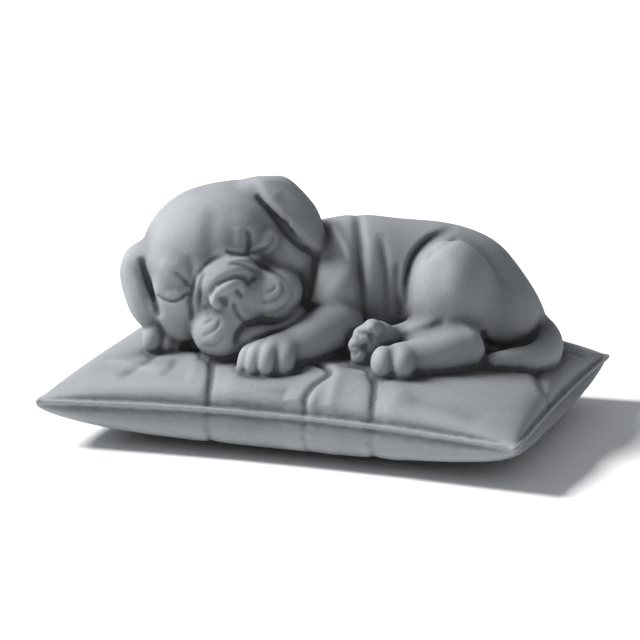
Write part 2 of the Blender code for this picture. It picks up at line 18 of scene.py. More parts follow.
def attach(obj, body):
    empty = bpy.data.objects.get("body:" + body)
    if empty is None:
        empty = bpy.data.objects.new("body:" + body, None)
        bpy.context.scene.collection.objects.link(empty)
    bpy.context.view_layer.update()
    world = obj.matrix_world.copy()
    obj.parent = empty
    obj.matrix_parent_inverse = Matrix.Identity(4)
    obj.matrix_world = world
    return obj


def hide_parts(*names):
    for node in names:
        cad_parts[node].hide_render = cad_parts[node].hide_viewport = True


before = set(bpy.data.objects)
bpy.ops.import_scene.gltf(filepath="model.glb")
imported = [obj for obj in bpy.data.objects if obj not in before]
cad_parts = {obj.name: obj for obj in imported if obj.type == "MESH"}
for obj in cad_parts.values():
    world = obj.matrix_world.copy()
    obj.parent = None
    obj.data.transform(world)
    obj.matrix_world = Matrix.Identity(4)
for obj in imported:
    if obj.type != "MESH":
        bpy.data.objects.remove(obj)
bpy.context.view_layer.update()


# %% [markdown]
# How we sculpt
#
# A sculptor builds a figure up from lumps of clay and then presses folds into it. We could push the
# points of a mesh about by hand, but then nothing could be changed later. Instead the figure is a
# *field*: a function that tells how far a point is from the skin, below zero inside it and above zero
# outside. Two lumps are melted into one by a smooth minimum, and a fold only adds a little to the
# distance along a line. At the end a rough mesh of the same lumps is drawn onto the place where the field
# is zero.
#
# The puppy's own lengths are written in grains, of which 222 go to its length. A grain is a millimetre at
# this size, and the puppy keeps its pose if its length changes.

# %% The puppy's own unit
PUPPY_LENGTH = 0.222
GRAIN = PUPPY_LENGTH / 222
print("a grain is", round(GRAIN * 1000, 3), "mm")


# %% [markdown]
# Melting and curves
#
# On a modelled figure each lump runs into the next with a soft corner. Boolean unions would leave sharp
# seams there. `melt`, the smooth minimum, fills the corner where two lumps are about as far away, as a
# thumb does. `curve_through` draws a smooth curve through a few rows, and a row may hold a radius as well
# as a place, so the same curve serves for a leg that tapers. `chain_distance` is the distance to that
# leg.

# %% Melt, curve and chain
def melt(a, b, k):
    """The union of two distances, with a fillet that is k wide."""
    h = np.clip(1 - np.abs(a - b) / k, 0, 1)
    return np.minimum(a, b) - h * h * k / 4


def curve_through(points, per_span=5):
    """Points along a smooth curve through the given rows, whose columns may hold radii too."""
    rows = np.asarray(points, float)
    if len(rows) < 3:
        return rows
    padded = np.vstack([2 * rows[0] - rows[1], rows, 2 * rows[-1] - rows[-2]])
    out = []
    for a, b, c, d in zip(padded, padded[1:], padded[2:], padded[3:]):
        for t in np.arange(per_span) / per_span:
            out.append(
                b
                + 0.5 * t * (c - a)
                + t * t * (a - 2.5 * b + 2 * c - 0.5 * d)
                + t * t * t * (1.5 * (b - c) + 0.5 * (d - a))
            )
    return np.vstack([out, rows[-1]])


def chain_distance(p, line, radii):
    """Distance from points to a chain of round cones."""
    best = np.full(len(p), 1e3)
    for a, b, ra, rb in zip(line, line[1:], radii, radii[1:]):
        along = b - a
        t = np.clip((p - a) @ along / max(along @ along, 1e-12), 0, 1)
        d = np.linalg.norm(p - a - t[:, None] * along, axis=1) - (ra + t * (rb - ra))
        best = np.minimum(best, d)
    return best


print("two lumps 1 mm away melt to", melt(0.001, 0.001, 0.004))


# %% [markdown]
# Lumps of clay
#
# Blender's metaballs melt too, but folds can't be pressed into them along a line. Two lumps of our own
# are enough for nearly all of the puppy. A `Ball` is an egg with three radii, for skull, cheeks and
# haunches. A `Limb` is a round mass along a curve, for legs, toes and the tail. Each one knows its
# distance, and `rough` puts plain spheres into a mesh to start from.

# %% Ball
# Its rough spheres are this much wider than the mass, in grains, or thin masses would break up in the first
# remesh
ROUGH_PADDING = 1.2


class Ball:
    """An egg-shaped mass: centre, three radii and a turn in degrees."""

    def __init__(self, centre, radii, turn=(0, 0, 0), blend=8):
        self.centre = np.array(centre, float) * GRAIN
        self.radii = np.array(radii, float) * GRAIN
        self.turn = np.array(Euler(map(math.radians, turn)).to_matrix())
        self.blend = blend * GRAIN
        self.span = self.radii.max()

    def distance(self, p):
        q = (p - self.centre) @ self.turn
        near = np.linalg.norm(q / self.radii, axis=1)
        slope = np.linalg.norm(q / self.radii**2, axis=1)
        return near * (near - 1) / np.maximum(slope, 1e-9)

    def rough(self, bm, place):
        turn = Matrix(self.turn.tolist()).to_4x4()
        size = Matrix.Diagonal((*(self.radii + ROUGH_PADDING * GRAIN), 1))
        at = place @ Matrix.Translation(self.centre) @ turn @ size
        bmesh.ops.create_icosphere(bm, subdivisions=3, radius=1, matrix=at)


plain_ball = Ball((0, 0, 0), (10, 10, 10))
ball_side = np.array([[0.015, 0, 0]])
print("15 mm from the middle of a 10 mm ball:", plain_ball.distance(ball_side))


# %% Limb
class Limb:
    """A tapering round mass along a smooth curve. Each row is x, y, z, radius."""

    def __init__(self, rows, blend=6):
        rows = curve_through(rows, 10) * GRAIN
        self.line, self.radii = rows[:, :3], rows[:, 3]
        self.blend = blend * GRAIN
        self.centre = self.line.mean(axis=0)
        self.span = (np.linalg.norm(self.line - self.centre, axis=1) + self.radii).max()

    def distance(self, p):
        return chain_distance(p, self.line, self.radii)

    def rough(self, bm, place):
        for centre, radius in zip(self.line, self.radii + ROUGH_PADDING * GRAIN):
            at = place @ Matrix.Translation(centre)
            bmesh.ops.create_icosphere(bm, subdivisions=2, radius=radius, matrix=at)


plain_leg = Limb([(4, -26, 18, 13), (-9, -37, 13, 11), (-20, -43, 9, 9)])
print("a leg drawn through 3 rows has", len(plain_leg.line), "points")


# %% [markdown]
# A soft sheet
#
# The ears are thin flaps with a round edge. A flattened ball would be too thick in its middle, and a
# plane with a Solidify modifier couldn't melt into the skull. A `Flap` takes the points of its rim, fits
# a smooth sheet to them by least squares, and gives that sheet a thickness and a slight bulge.

# %% Flap
# How far in from the rim the bulge has mostly risen, in grains
BULGE_EDGE = 6


class Flap:
    """A soft sheet with a round edge, such as an ear: a smooth surface that fits the points of its rim."""

    def __init__(self, rim, thickness, bulge, blend):
        rim = curve_through([*rim, rim[0]], 3) * GRAIN
        self.half, self.bulge, self.blend = thickness / 2 * GRAIN, bulge * GRAIN, blend * GRAIN
        self.centre = rim[1:].mean(axis=0)
        self.frame = np.linalg.svd(rim - self.centre)[2]
        # The sheet bulges to the front, so its third axis has to point there
        if self.frame[2, 1] > 0:
            self.frame[2] *= -1
        flat = (rim - self.centre) @ self.frame.T
        self.rim = flat[:, :2]
        self.low, self.high = self.rim.min(axis=0), self.rim.max(axis=0)
        self.bend = np.linalg.lstsq(self.shapes(self.rim), flat[:, 2], rcond=None)[0]
        self.span = np.linalg.norm(flat, axis=1).max() + self.half + self.bulge

    def shapes(self, st):
        s, t = np.clip(st, self.low, self.high).T
        return np.stack([np.ones(len(s)), s, t, s * s, s * t, t * t], axis=1)

    def inwards(self, st):
        """Distance inwards from the rim in the sheet's own plane, negative outside it."""
        away = chain_distance(st, self.rim, np.zeros(len(self.rim)))
        inside = np.zeros(len(st), bool)
        for (s0, t0), (s1, t1) in zip(self.rim, self.rim[1:]):
            if t0 != t1:
                crosses = (t0 > st[:, 1]) != (t1 > st[:, 1])
                inside ^= crosses & (st[:, 0] < s0 + (s1 - s0) * (st[:, 1] - t0) / (t1 - t0))
        return np.where(inside, away, -away)

    def height(self, st, inwards):
        swell = 1 - np.exp(-np.maximum(inwards, 0) / (BULGE_EDGE * GRAIN))
        return self.shapes(st) @ self.bend + self.bulge * swell

    def distance(self, p):
        q = (p - self.centre) @ self.frame.T
        inwards = self.inwards(q[:, :2])
        beyond = np.maximum(self.half - inwards, 0)
        return np.hypot(beyond, q[:, 2] - self.height(q[:, :2], inwards)) - self.half

    def rough(self, bm, place):
        steps = [np.arange(low, high, self.half) for low, high in zip(self.low, self.high)]
        st = np.array([(s, t) for s in steps[0] for t in steps[1]])
        inwards = self.inwards(st)
        flat = np.column_stack([st, self.height(st, inwards)])[inwards > self.half]
        radius = self.half + ROUGH_PADDING * GRAIN
        for point in flat @ self.frame + self.centre:
            at = place @ Matrix.Translation(point)
            bmesh.ops.create_icosphere(bm, subdivisions=1, radius=radius, matrix=at)


plain_flap = Flap([(0, 0, 0), (20, 0, 0), (20, 20, 4), (0, 20, 0)], 4, 1, 3)
print("a flap with 4 corners has", len(plain_flap.rim), "rim points")


# %% [markdown]
# Folds
#
# Skin and cloth fold softly, where a cut with another mesh would leave a hard edge. A fold here is a
# valley, or a ridge when its depth is negative, along a curve on a flat sheet. Its cross section is the
# bell curve, and it fades at both ends, as skin does. For the puppy the sheet is a squared one that
# stands in front of it, as a sculptor holds a sheet of squared paper up in front of a model: what is
# traced on it falls on the clay behind it.

# %% Fold
# Further from its line than this many widths, a fold is too shallow to matter
FOLD_REACH = 2.6


class Fold:
    """A valley, or with a negative depth a ridge, pressed into the skin along a line on a flat sheet.

    The line's points times their unit are metres on the sheet. The fold fades in and out at its ends.
    """

    def __init__(self, points, unit, width, depth, fade=0.25):
        self.line = curve_through(points) * unit
        self.width, self.depth = width, depth
        self.fade = fade * (len(self.line) - 1)
        self.low = self.line.min(axis=0) - FOLD_REACH * width
        self.high = self.line.max(axis=0) + FOLD_REACH * width

    def push(self, sheet):
        """How far the skin sinks at places on the sheet."""
        out = np.zeros(len(sheet))
        near = np.all((sheet > self.low) & (sheet < self.high), axis=1)
        p = sheet[near]
        away, along = np.full(len(p), 1e3), np.zeros(len(p))
        for i, (a, b) in enumerate(zip(self.line, self.line[1:])):
            t = np.clip((p - a) @ (b - a) / ((b - a) @ (b - a)), 0, 1)
            d = np.linalg.norm(p - a - t[:, None] * (b - a), axis=1)
            along = np.where(d < away, i + t, along)
            away = np.minimum(away, d)
        ends = np.minimum(along, len(self.line) - 1 - along) / max(self.fade, 1e-9)
        strength = np.sin(np.clip(ends, 0, 1) * math.pi / 2)
        out[near] = self.depth * strength * np.exp(-((away / self.width) ** 2))
        return out


plain_fold = Fold([(0, 0), (1, 0)], 0.01, width=0.001, depth=0.001)
fold_places = np.array([(0.005, 0), (0.005, 0.001)])
print("a fold sinks the skin on its line, and 1 mm beside it, by", plain_fold.push(fold_places))


# %% The tracing sheet
# The sheet stands across the line from TRACE_AIM to an eye that looks down by TRACE_TILT degrees, and the
# square TRACE_MIDDLE is on that line. The aim, the eye's distance and a square's side are in grains
TRACE_AIM = np.array((-3.7, 1.3, 13.2))
TRACE_TILT = 14.95
TRACE_DISTANCE = 1728
TRACE_SQUARE = 0.486
TRACE_MIDDLE = np.array((320, 320))


def traced(squares, width, depth, fade=0.25):
    """A fold along a line through the given squares of the tracing sheet."""
    return Fold(squares, TRACE_SQUARE * GRAIN, width * GRAIN, depth * GRAIN, fade)


def on_tracing_sheet(q):
    """Where points of the puppy's frame fall on the tracing sheet, and how far in front of its aim."""
    tilt = math.radians(TRACE_TILT)
    q = q - TRACE_AIM * GRAIN
    front = q @ np.array((0, -math.cos(tilt), math.sin(tilt)))
    up = q @ np.array((0, math.sin(tilt), math.cos(tilt)))
    grow = TRACE_DISTANCE * GRAIN / (TRACE_DISTANCE * GRAIN - front)
    middle = TRACE_MIDDLE * TRACE_SQUARE * GRAIN
    return np.stack([q[:, 0] * grow, -up * grow], axis=1) + middle, front


print("one square of the sheet is", round(TRACE_SQUARE * GRAIN * 1000, 3), "mm")


# %% [markdown]
# Groups
#
# The head is turned and tilted on its own. Turning each lump by hand would be tedious, so the lumps are
# written in the head's frame, and the frame is turned. A `Group` holds lumps that share a frame, melts
# them one after another, and presses the folds into the half that faces the sheet. Points far away are
# left out, which is what makes the field quick enough to use a few hundred thousand times.

# %% Group
# The edge between a group's front and back is this soft, in grains
FRONT_EDGE = 6
# Beyond its reach a group counts as a ball with this share of the reach, which holds all its masses
FAR_BALL = 0.8
# No point of the mesh is moved further than this at once, and folds are worked out only this near the skin
LONGEST_STEP = 0.0025
SKIN_REACH = 4 * LONGEST_STEP


class Group:
    """Masses that share a place, such as a head, and the folds that are pressed into their front half.

    Points far outside its reach are not worked out.
    """

    def __init__(self, lie, place, centre, reach, masses, folds):
        self.place = lie @ place
        self.back = np.array(self.place.inverted())
        self.to_puppy = np.array(lie.inverted())
        self.centre = np.array(self.place @ (Vector(centre) * GRAIN))
        self.reach = reach * GRAIN
        self.masses, self.folds = masses, folds
        self.halfway = self.sheet(self.centre[None])[1]

    def sheet(self, p):
        return on_tracing_sheet(p @ self.to_puppy[:3, :3].T + self.to_puppy[:3, 3])

    def distance(self, p):
        far = np.linalg.norm(p - self.centre, axis=1)
        out = far - FAR_BALL * self.reach
        near = far < self.reach
        if near.any():
            q = p[near] @ self.back[:3, :3].T + self.back[:3, 3]
            d = self.masses[0].distance(q)
            for mass in self.masses[1:]:
                close = np.linalg.norm(q - mass.centre, axis=1) - mass.span < d + mass.blend
                if close.any():
                    d[close] = melt(d[close], mass.distance(q[close]), mass.blend)
            skin = d < SKIN_REACH
            sheet, front = self.sheet(p[near][skin])
            facing = np.clip((front - self.halfway) / (FRONT_EDGE * GRAIN) + 0.5, 0, 1)
            d[skin] += facing * sum((fold.push(sheet) for fold in self.folds), np.zeros(len(sheet)))
            out[near] = d
        return out

    def rough(self, bm):
        for mass in self.masses:
            mass.rough(bm, self.place)


plain_group = Group(Matrix.Identity(4), Matrix.Identity(4), (0, 0, 0), 50, [plain_ball], [])
print("a group of one ball, 15 mm from its middle:", plain_group.distance(ball_side))


# %% [markdown]
# The pillow
#
# A real cushion is two flat sheets sewn together and filled. Its sides pull in between the corners,
# because the cloth that bulges up has to come from somewhere, and the corners stay thin and sharp. The
# puppy's weight pulls creases from under it across to the seam, a thin lip that runs all round. A cloth
# simulation would puff it up too, but its creases fall where they like, and these have to run where the
# carver put them.

# %% Pillow sizes
PILLOW_LENGTH = 0.240
PILLOW_WIDTH = 0.169

# The seam's height at the corners and how much it rises between them, its lip's width and its thickness
SEAM_HEIGHT = 0.022
SEAM_ARCH = 0.0025
SEAM_LIP = 0.0014
SEAM_THICKNESS = 0.0022

# How far the pillow rises above its seam and hangs below it, and the share by which its underside swells
PILLOW_RISE = 0.0215
PILLOW_SAG = 0.026
LOWER_BULGE = 0.032

# How far the long sides and the head's end pull in
SIDE_PULL = 0.008
HEAD_END_PULL = 0.010

# The lower the exponent, the fuller the pillow stays towards its seam. Its corners lose a share of that
FULLNESS_ABOVE = 0.29
FULLNESS_BELOW = 0.22
CORNER_PINCH = 0.5

PILLOW_TOP = SEAM_HEIGHT + SEAM_ARCH + PILLOW_RISE
print("the pillow is", round((PILLOW_RISE + PILLOW_SAG) * 1000, 1), "mm thick before its foot is cut off")


# %% Pillow shape
def pillow_plan(x, y, inset=0):
    """Shares of the half length and half width, 1 at the rim.

    The long sides and the head's end pull in between the corners, and the tail's end is straight.
    """
    half_x, half_y = PILLOW_LENGTH / 2, PILLOW_WIDTH / 2
    end_pull = np.where(x < 0, HEAD_END_PULL, 0)
    u = x / (half_x - inset - end_pull * np.clip(1 - (y / half_y) ** 2, 0, 1))
    v = y / (half_y - inset - SIDE_PULL * np.clip(1 - (x / half_x) ** 2, 0, 1))
    return u, v


def pillow_loft(x, y, fullness):
    """How full the pillow is at a place, 0 at the seam and 1 in the middle, thinner towards the corners."""
    u, v = pillow_plan(x, y, SEAM_LIP)
    pinch = 1 - CORNER_PINCH * np.clip(u * v, -1, 1) ** 4
    return pinch * (np.clip(1 - u**2, 0, 1) * np.clip(1 - v**2, 0, 1)) ** fullness


def seam_level(u, v):
    """The seam's height, which rises between the corners."""
    return SEAM_HEIGHT + SEAM_ARCH * (1 - np.clip(u * v, -1, 1) ** 2)


middle = pillow_loft(np.array(0.0), np.array(0.0), FULLNESS_ABOVE)
print("fullness in the middle", float(middle))


# %% Pillow creases
# How deep a crease is below the seam, as a share of its depth above
LOWER_CREASES = 0.4


def pillow_creases():
    """Creases from under the puppy to the seam, in shares of the half sides, with width and depth in mm."""
    half_sides = np.array((PILLOW_LENGTH, PILLOW_WIDTH)) / 2
    lines = [
        ([(-0.37, -0.45), (-0.33, -0.65), (-0.29, -0.82), (-0.27, -1.02)], 1.8, 1.5),
        ([(-0.35, -0.45), (-0.31, -0.65), (-0.27, -0.82), (-0.25, -1.02)], 5, 0.9),
        ([(-0.44, -0.5), (-0.4, -0.68), (-0.36, -0.85)], 3.4, -0.5),
        ([(-0.04, -0.5), (0.1, -0.57), (0.165, -0.66), (0.13, -0.79), (0.12, -0.9), (0.15, -1)], 1.8, 1.4),
        ([(0.1, -0.52), (0.19, -0.62), (0.21, -0.76), (0.23, -0.95)], 3, -0.7),
        ([(0.18, -0.55), (0.3, -0.56), (0.36, -0.7), (0.39, -0.85), (0.41, -1)], 1.7, 1.2),
        ([(0.3, -0.56), (0.37, -0.7), (0.4, -0.85), (0.42, -1)], 5, 1),
        ([(0.42, -0.6), (0.46, -0.75), (0.48, -0.92)], 5, -0.3),
        ([(-0.6, -0.52), (-0.61, -0.68), (-0.68, -0.84)], 3.2, 0.9),
        ([(-0.5, -0.6), (-0.48, -0.72), (-0.5, -0.82)], 2.6, 0.7),
        ([(0.8, 0.14), (0.85, 0.03), (0.93, -0.2), (1, -0.36)], 3, 1.5),
        ([(0.86, 0.24), (0.9, 0.45), (0.98, 0.6)], 2.6, 0.9),
        ([(0.48, -0.79), (0.66, -0.82), (0.84, -0.86)], 5, 0.8),
        ([(-0.2, -0.74), (-0.06, -0.7), (0.07, -0.66)], 4, 0.8),
        ([(-0.8, -0.6), (-0.62, -0.72), (-0.45, -0.78)], 4, -0.7),
        ([(0.02, -0.86), (0.1, -0.88), (0.17, -0.88)], 4, -0.6),
    ]
    return [Fold(line, half_sides, width / 1000, depth / 1000) for line, width, depth in lines]


creases = pillow_creases()
print(len(creases), "creases")


# %% Pillow field and rough pillow
ROUGH_CELLS_LONG = 60
ROUGH_CELLS_WIDE = 50


def pillow_distance(p, creases):
    u, v = pillow_plan(p[:, 0], p[:, 1])
    z = p[:, 2] - seam_level(u, v)
    down = np.clip(-z / PILLOW_SAG, 0, 1)
    # The underside swells out beyond the seam, except at the tail's end
    swell = 1 + 4 * LOWER_BULGE * down * (1 - down)
    x, y = p[:, 0] / np.where(p[:, 0] < 0, swell, 1), p[:, 1] / swell
    step = 0.0005
    above = z > 0
    lift = np.where(above, PILLOW_RISE, PILLOW_SAG)
    fullness = np.where(above, FULLNESS_ABOVE, FULLNESS_BELOW)
    loft = pillow_loft(x, y, fullness)
    dx = (pillow_loft(x + step, y, fullness) - pillow_loft(x - step, y, fullness)) / (2 * step) * lift
    dy = (pillow_loft(x, y + step, fullness) - pillow_loft(x, y - step, fullness)) / (2 * step) * lift
    body = (np.abs(z) - loft * lift) / np.sqrt(1 + dx * dx + dy * dy)
    skin = np.abs(body) < SKIN_REACH
    share = np.where(above[skin], 1, LOWER_CREASES)
    body[skin] += share * sum(painted_crease_shade.push(p[skin, :2]) for painted_crease_shade in creases)
    rim = (np.maximum(np.abs(u), np.abs(v)) - 1) * PILLOW_WIDTH / 2
    lip = np.maximum(rim, np.abs(z) - SEAM_THICKNESS / 2)
    return melt(body, lip, SEAM_LIP)


def pillow_rough(bm):
    """Two puffed sheets that meet at the seam, with the corners left square."""
    for lift, fullness in ((PILLOW_RISE, FULLNESS_ABOVE), (-PILLOW_SAG, FULLNESS_BELOW)):
        grid = bmesh.ops.create_grid(bm, x_segments=ROUGH_CELLS_LONG, y_segments=ROUGH_CELLS_WIDE, size=1)
        made = grid["verts"]
        for vert in made:
            seam = seam_level(vert.co.x, vert.co.y)
            x, y = vert.co.x * PILLOW_LENGTH / 2, vert.co.y * PILLOW_WIDTH / 2
            u, v = pillow_plan(x, y)
            x, y = x * abs(vert.co.x / u) if u else 0, y * abs(vert.co.y / v) if v else 0
            loft = float(pillow_loft(np.array(x), np.array(y), fullness))
            vert.co = Vector((x, y, seam + lift * loft + math.copysign(SEAM_THICKNESS / 2, lift)))
        if lift < 0:
            faces = {face for vert in made for face in vert.link_faces}
            bmesh.ops.reverse_faces(bm, faces=list(faces))
    rims = [edge for edge in bm.edges if edge.is_boundary]
    bmesh.ops.bridge_loops(bm, edges=rims)


print("1 mm above the pillow:", pillow_distance(np.array([[0, 0, PILLOW_TOP + 0.001]]), creases))


# %% [markdown]
# The head
#
# The head is a high, round puppy skull with a short muzzle pushed up against it, two hanging flews, a
# chin and a nose pad shaped like an arch. One subdivided cube could be pulled into that shape, but every
# change of a cheek would drag its neighbours along, and a lump can be moved alone. All of them are
# measured from between the eyes: X to the puppy's left, -Y out of its face and Z to its crown.

# %% Ears
EAR_THICKNESS = 4.4
EAR_BULGE = 1.5
EAR_BLEND = 3


def ears():
    left_rim = [
        (34, 21, 21.5), (41, 23, 19), (47, 25, 14), (51.5, 25, 7), (53.5, 23, -3),
        (53, 18, -12), (50.5, 13, -18.5), (46.5, 8, -21), (42, 5, -13), (38.5, 5.5, 4), (35.5, 11, 17),
    ]
    right_rim = [
        (-30, 22, 20), (-35, 25, 18.5), (-41, 27, 11), (-45.5, 25, 1),
        (-46.5, 19, -7), (-44.5, 14, -13), (-38.5, 12, -11), (-35.5, 14, 3), (-32, 20, 17),
    ]
    return [Flap(rim, EAR_THICKNESS, EAR_BULGE, EAR_BLEND) for rim in (left_rim, right_rim)]


def ear_folds():
    """The dip behind the front edge of the left ear."""
    return [traced([(276, 194), (290, 211), (303, 228)], 3.2, 0.6)]


def ear_roots():
    """The solid under the ears, so that no gap stays behind them."""
    return [
        Ball((44, 25, 3), (9, 8, 16), blend=6),
        Ball((33, 24, 16.5), (9, 9, 7), blend=6),
        Ball((-39, 25, 3), (7, 8, 13), blend=6),
        Ball((-31, 25, 15), (9, 9, 8), blend=6),
        Ball((-37, 18, -9), (7, 8, 9), blend=4),
    ]


print(len(ear_roots()), "lumps lie under the", len(ears()), "ears")


# %% Nose
def nose():
    return [
        Ball((-0.9, -12.4, -8.3), (8.2, 4.8, 3.8), blend=1.5),
        Ball((0.6, -12, -13), (6.5, 4.3, 5.5), blend=2),
        Ball((-8.5, -12.2, -11.5), (3, 3.8, 4.2), blend=1.5),
        Ball((5.2, -12.2, -11.2), (2.8, 3.8, 3.8), blend=1.5),
    ]


print(len(nose()), "lumps make the nose")


# %% Skull, lids and muzzle
def pair(x, y, z, radii, roll, blend):
    """The same mass on the puppy's left and right side."""
    return [Ball((x * side, y, z), radii, (0, roll * side, 0), blend) for side in (-1, 1)]


def head_masses():
    skull = [
        Ball((1, 31, 0), (35.5, 36, 31.8)),
        Ball((24, 30, -1), (24, 24, 23), blend=12),
        Ball((0, 13, 8), (26, 14, 15), blend=14),
        Ball((-22, 19, -15), (15.5, 18, 16), blend=10),
        Ball((29, 18, -19), (16, 18, 19), blend=10),
        Ball((29, 9, -15), (10, 11, 9), blend=7),
        Ball((-28, 12, -19), (9, 10, 8.5), blend=5),
        Ball((-26, 9.5, -9), (9, 8, 9)),
    ]
    brows_and_lids = pair(17, 5, 6, (8, 7, 9), 10, 5) + [
        Ball((24.5, 4.5, -1.8), (8, 6.5, 6), blend=2.5),
        Ball((-24, 7.5, 0.5), (8, 6, 7), blend=6),
    ]
    muzzle = [
        Ball((2, -3, -4), (16, 11, 8.5), blend=6),
        Ball((-19, 5, -14), (9, 9, 12), blend=7),
        Ball((1, 4, -17), (20, 20, 16.5), blend=5),
        Ball((16, -2, -24), (15.5, 15, 13.5), (0, 18, 0), 3.5),
        Ball((-13.5, -2.5, -28), (13.5, 15, 14.5), (0, -18, 0), 3.5),
        Ball((-4, -5, -25), (10, 10.5, 10), blend=5),
        Ball((7, -6, -20), (7, 9, 8), blend=4),
        Ball((-1, -5.5, -36.5), (14, 12.5, 9), blend=2),
        Ball((14, -7, -38.5), (13, 9.5, 7), blend=3),
    ]
    return skull + ear_roots() + brows_and_lids + muzzle + nose()


print(len(head_masses()), "lumps make the head without its ears")


# %% [markdown]
# The face
#
# Folds make the face: closed lids, the brow that presses on them, the deep fold round the muzzle, the
# nostrils, the mouth and the rings of loose skin on the flews. Each is a line on the tracing sheet with a
# width and a depth. A brush could carve them by hand, but a line can be read and changed. A fold is at
# most a little deeper than it is wide, or the skin would tear into steps.

# %% Eyes and forehead
def eye_folds():
    lids = [
        traced([(245, 254), (254, 252), (264, 249), (271, 243), (275, 235)], 0.9, 1.1, 0.12),
        traced([(157, 294), (163, 299), (173, 301), (182, 297), (190, 291)], 0.9, 1.1, 0.12),
        traced([(254, 248), (263, 244), (269, 238)], 2, -0.5),
        traced([(165, 294), (173, 295), (181, 291)], 2, -0.5),
    ]
    brows = [
        traced([(172, 270), (179, 275), (185, 281), (190, 288)], 1.4, 0.9),
        traced([(246, 228), (249, 238), (248, 248), (244, 256)], 1.5, 1.4),
        traced([(238, 226), (239, 236), (237, 247)], 2.2, -0.5),
        traced([(225, 251), (234, 254), (246, 255)], 1, 1),
        traced([(160, 262), (170, 266), (180, 268)], 2.5, -0.5),
    ]
    forehead = [
        traced([(212, 206), (211, 228), (209, 250), (207, 268)], 4.5, 1),
        traced([(188, 254), (190, 268), (190, 284)], 2.2, 0.5),
    ]
    return lids + brows + forehead


print(len(eye_folds()), "folds round the eyes")


# %% Muzzle
def muzzle_folds():
    outer = [
        traced([(192, 322), (190, 300), (195, 280)], 1.2, 0.8),
        traced([(192, 290), (196, 278), (204, 267), (214, 259), (228, 255)], 1.2, 0.8),
        traced([(228, 255), (246, 256), (262, 266), (280, 276), (292, 285)], 1.2, 1),
        traced([(199, 270), (197, 281), (196, 300), (197, 316)], 0.9, -0.4),
        traced([(205, 271), (202, 281), (200, 292), (199, 305)], 1, 0.7),
        traced([(226, 260), (244, 261), (262, 270), (282, 281)], 1.3, -0.4),
        traced([(228, 265), (237, 264), (246, 266), (255, 271)], 0.9, 0.7),
    ]
    round_the_nose = [
        traced([(211, 306), (211, 295), (217, 286), (227, 280), (237, 277), (245, 279), (248, 286)],
               0.9, 1.1),
        traced([(206, 300), (208, 288), (217, 276), (232, 271), (247, 272), (256, 276)], 1.4, -0.3),
        traced([(246, 284), (251, 281), (257, 276)], 1, 0.8),
        traced([(204, 308), (209, 307), (213, 308)], 0.8, 0.6),
    ]
    return outer + round_the_nose


print(len(muzzle_folds()), "folds on the muzzle")


# %% Flews and mouth
def flew_folds():
    rings = [
        traced([(265, 293), (271, 291), (277, 286)], 0.75, 0.6),
        traced([(264, 298), (272, 296), (279, 290), (279, 284), (275, 281)], 0.8, -0.45),
        traced([(261, 302), (270, 301), (278, 297), (283, 290), (282, 282)], 0.85, 0.75),
        traced([(257, 308), (270, 306), (281, 301), (288, 292)], 1, -0.4),
        traced([(258, 314), (274, 312), (286, 305), (293, 296), (291, 286)], 0.95, 0.6),
        traced([(204, 325), (208, 322), (213, 320)], 0.75, 0.55),
        traced([(220, 320), (218, 326), (212, 332), (201, 337)], 0.8, 0.7),
        traced([(202, 341), (210, 341), (217, 336)], 0.8, -0.3),
        traced([(202, 345), (211, 346), (220, 341), (224, 333)], 0.85, 0.7),
    ]
    whisker_pits = [
        traced([(x, y), (x + 2, y - 1)], 0.8, 0.6)
        for x, y in ((254, 289), (261, 294), (255, 303), (262, 309), (253, 296), (207, 314))
    ]
    mouth = [
        traced([(233, 300), (236, 311), (241, 318), (247, 322)], 1.1, 1.1),
        traced([(234, 346), (237, 335), (241, 328), (247, 323), (260, 322), (280, 321), (300, 311)],
               1.4, 1.6),
        traced([(243, 344), (250, 333), (266, 329), (285, 324)], 2, -0.6),
        traced([(223, 298), (226, 302), (223, 306)], 1.1, 1.4, 0.1),
        traced([(237, 289), (239, 294), (243, 296)], 1.1, 1.4, 0.1),
    ]
    return rings + whisker_pits + mouth


print(len(flew_folds()), "folds on the flews and the mouth")


# %% Ear and neck gaps
def face_folds():
    """All the folds of the face. The puppy's left side is on the right of the tracing sheet."""
    gaps = [
        traced([(256, 194), (264, 203), (275, 218), (287, 235), (299, 247), (313, 253)], 1.7, 1.8, 0.2),
        traced([(141, 256), (144, 269), (149, 285), (155, 300), (160, 318)], 1.7, 1.8, 0.15),
        traced([(318, 248), (315, 268), (311, 287), (305, 304)], 2.2, 1.2),
    ]
    return gaps + eye_folds() + muzzle_folds() + flew_folds()


print(len(face_folds()), "folds make the face")


# %% [markdown]
# Body, legs and tail
#
# The body is written where the puppy lies: X towards its rump, -Y out of its belly, Z up. The near
# foreleg reaches out in front of the chest, the far hind paw lies on its side so that its pads show, and
# the near hind leg covers the rest. Legs of plain tubes would meet the body like pipes, so each starts
# deep in a broad mass and melts into it. A toe is a short limb that comes down from its knuckle to the
# pillow.

# %% Legs
def toe(x, y, z, radius, back):
    """A toe that comes down from its knuckle, which lies back from its tip, to the pillow."""
    rows = [
        (x + back[0], y + back[1], z + 5, radius * 0.8),
        (x + back[0] * 0.3, y + 1, z + 2.5, radius),
        (x, y - 1, z - 2.5, radius),
        (x, y + 1, z - 6, radius * 0.8),
    ]
    return Limb(rows, blend=1.6)


